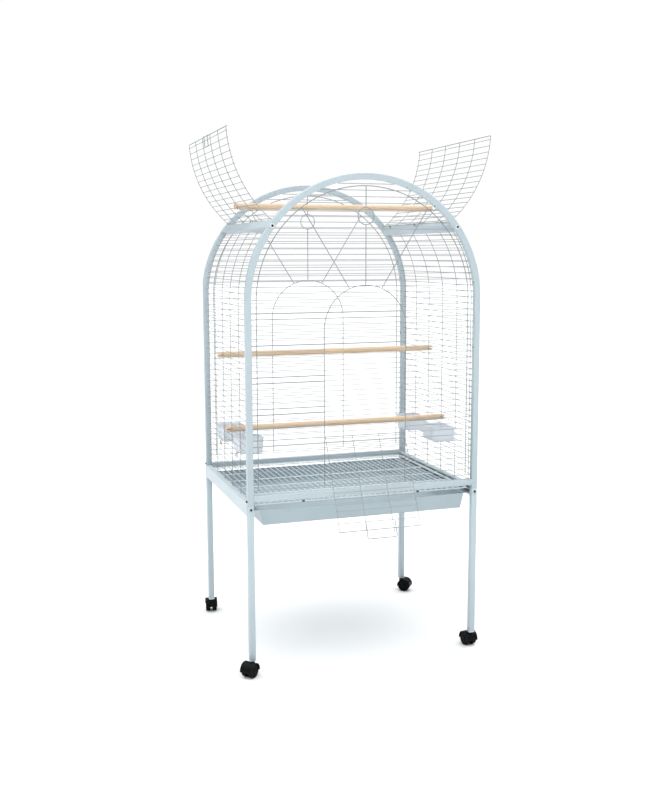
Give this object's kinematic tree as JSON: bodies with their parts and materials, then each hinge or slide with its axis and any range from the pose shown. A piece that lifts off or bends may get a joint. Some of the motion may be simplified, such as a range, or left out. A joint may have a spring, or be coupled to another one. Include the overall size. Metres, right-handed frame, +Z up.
{
  "type": "bird cage on stand",
  "caption": "Round-topped wire bird cage on a wheeled tube stand, with opening top flaps, drawbridge door, litter tray, floor grate, perches and feeder cups.",
  "frame": {"origin": "on the floor, midway between the four legs", "axes": "+X to the right seen from the front door, +Y to the back, +Z up"},
  "size_m": [0.8909, 0.8166, 1.7328],
  "materials": {
    "powder_coated_tube": "pale grey-blue fine-textured powder coat",
    "powder_coated_sheet": "pale grey-blue powder coat",
    "powder_coated_tray": "pale grey-blue powder coat",
    "powder_coated_wire": "white-grey powder coat over welded wire",
    "powder_coated_grate": "white-grey powder coat over welded wire",
    "black_spring_steel": "blackened",
    "blackened_steel": "blackened",
    "white_nylon": "moulded",
    "grey_plastic": "moulded",
    "bare_steel": "turned, zinc plated",
    "beech_dowel": "sanded, unvarnished",
    "clear_cup_plastic": "translucent moulded",
    "black_nylon": "moulded",
    "black_tread": "moulded"
  },
  "bodies": {
    "frame": {"leg_front_left": "powder_coated_tube", "leg_front_right": "powder_coated_tube", "leg_rear_left": "powder_coated_tube", "leg_rear_right": "powder_coated_tube", "post_sleeves": "bare_steel", "leg_plugs": "grey_plastic", "hoop_front": "powder_coated_tube", "hoop_rear": "powder_coated_tube", "front_rail": "powder_coated_tube", "rear_rail": "powder_coated_tube", "side_rail_left": "powder_coated_sheet", "side_rail_right": "powder_coated_sheet", "runner_left": "powder_coated_sheet", "runner_right": "powder_coated_sheet", "crossbar_left": "powder_coated_tube", "crossbar_right": "powder_coated_tube", "crossbar_plugs": "bare_steel", "flap_hinge_left": "powder_coated_wire", "flap_hinge_right": "powder_coated_wire", "joint_screws": "blackened_steel", "crossbar_screws": "blackened_steel", "crossbar_washers": "white_nylon", "panel_screws": "blackened_steel", "panel_left": "powder_coated_wire", "panel_right": "powder_coated_wire", "panel_front": "powder_coated_wire", "panel_rear": "powder_coated_wire", "cup_holders": "powder_coated_wire"},
    "flap_left": {"top_flap_left": "powder_coated_wire", "flap_latch": "powder_coated_wire"},
    "flap_right": {"top_flap_right": "powder_coated_wire"},
    "door": {"front_door": "powder_coated_wire", "door_latch": "powder_coated_wire"},
    "tray": {"tray": "powder_coated_tray"},
    "grate": {"grate": "powder_coated_grate", "grate_clips": "black_spring_steel"},
    "perch_top": {"perch_top": "beech_dowel"},
    "perch_middle": {"perch_middle": "beech_dowel"},
    "perch_low": {"perch_low": "beech_dowel"},
    "cup_front_left": {"cup_front_left": "clear_cup_plastic"},
    "cup_front_right": {"cup_front_right": "clear_cup_plastic"},
    "cup_rear_left": {"cup_rear_left": "clear_cup_plastic"},
    "cup_rear_right": {"cup_rear_right": "clear_cup_plastic"},
    "swivel_front_left": {"caster_housing_front_left": "black_nylon", "caster_stem_front_left": "bare_steel"},
    "wheels_front_left": {"caster_wheels_front_left": "black_tread", "caster_axle_front_left": "bare_steel"},
    "swivel_front_right": {"caster_housing_front_right": "black_nylon", "caster_stem_front_right": "bare_steel"},
    "wheels_front_right": {"caster_wheels_front_right": "black_tread", "caster_axle_front_right": "bare_steel"},
    "swivel_rear_left": {"caster_housing_rear_left": "black_nylon", "caster_stem_rear_left": "bare_steel"},
    "wheels_rear_left": {"caster_wheels_rear_left": "black_tread", "caster_axle_rear_left": "bare_steel"},
    "swivel_rear_right": {"caster_housing_rear_right": "black_nylon", "caster_stem_rear_right": "bare_steel"},
    "wheels_rear_right": {"caster_wheels_rear_right": "black_tread", "caster_axle_rear_right": "bare_steel"}
  },
  "joints": [
    {"name": "flap_left_hinge", "type": "hinge", "parent": "frame", "child": "flap_left", "pos_m": [-0.29744, 0, 1.45225], "axis": [0, 1, 0], "range_deg": [0, 91]},
    {"name": "flap_right_hinge", "type": "hinge", "parent": "frame", "child": "flap_right", "pos_m": [0.29744, 0, 1.45225], "axis": [0, 1, 0], "range_deg": [-91, 0]},
    {"name": "perch_top_lift", "type": "slide", "parent": "frame", "child": "perch_top", "axis": [0, 0, 1], "range_m": [0, 1.906]},
    {"name": "door_hinge", "type": "hinge", "parent": "frame", "child": "door", "pos_m": [0, -0.312, 0.767], "axis": [1, 0, 0], "range_deg": [-153.4, 0]},
    {"name": "tray_slide", "type": "slide", "parent": "frame", "child": "tray", "axis": [0, -1, 0], "range_m": [0, 0.1]},
    {"name": "grate_slide", "type": "slide", "parent": "frame", "child": "grate", "axis": [0, -1, 0], "range_m": [0, 0.095]},
    {"name": "perch_middle_slide", "type": "slide", "parent": "frame", "child": "perch_middle", "axis": [0, 1, 0], "range_m": [0, 0.09]},
    {"name": "perch_low_slide", "type": "slide", "parent": "frame", "child": "perch_low", "axis": [0, 1, 0], "range_m": [0, 0.092]},
    {"name": "cup_front_left_lift", "type": "slide", "parent": "frame", "child": "cup_front_left", "axis": [0, 0, 1], "range_m": [0, 0.05]},
    {"name": "cup_front_right_lift", "type": "slide", "parent": "frame", "child": "cup_front_right", "axis": [0, 0, 1], "range_m": [0, 0.05]},
    {"name": "cup_rear_left_lift", "type": "slide", "parent": "frame", "child": "cup_rear_left", "axis": [0, 0, 1], "range_m": [0, 0.05]},
    {"name": "cup_rear_right_lift", "type": "slide", "parent": "frame", "child": "cup_rear_right", "axis": [0, 0, 1], "range_m": [0, 0.05]},
    {"name": "swivel_front_left", "type": "hinge", "parent": "frame", "child": "swivel_front_left", "pos_m": [-0.39, -0.315, 0.05], "axis": [0, 0, 1], "continuous": true},
    {"name": "roll_front_left", "type": "hinge", "parent": "swivel_front_left", "child": "wheels_front_left", "pos_m": [-0.40115, -0.32504, 0.023], "axis": [0.6691, -0.7431, 0], "continuous": true},
    {"name": "swivel_front_right", "type": "hinge", "parent": "frame", "child": "swivel_front_right", "pos_m": [0.39, -0.315, 0.05], "axis": [0, 0, 1], "continuous": true},
    {"name": "roll_front_right", "type": "hinge", "parent": "swivel_front_right", "child": "wheels_front_right", "pos_m": [0.38791, -0.30015, 0.023], "axis": [-0.9903, -0.1392, 0], "continuous": true},
    {"name": "swivel_rear_left", "type": "hinge", "parent": "frame", "child": "swivel_rear_left", "pos_m": [-0.39, 0.315, 0.05], "axis": [0, 0, 1], "continuous": true},
    {"name": "roll_rear_left", "type": "hinge", "parent": "swivel_rear_left", "child": "wheels_rear_left", "pos_m": [-0.38791, 0.32985, 0.023], "axis": [-0.9903, 0.1392, 0], "continuous": true},
    {"name": "swivel_rear_right", "type": "hinge", "parent": "frame", "child": "swivel_rear_right", "pos_m": [0.39, 0.315, 0.05], "axis": [0, 0, 1], "continuous": true},
    {"name": "roll_rear_right", "type": "hinge", "parent": "swivel_rear_right", "child": "wheels_rear_right", "pos_m": [0.40182, 0.30577, 0.023], "axis": [0.6157, 0.788, 0], "continuous": true}
  ],
  "couplings": [
    {"joint": "flap_right_hinge", "follows": "flap_left_hinge", "ratio": -1},
    {"joint": "perch_top_lift", "follows": "flap_left_hinge", "m_per_rad": 1.2}
  ]
}
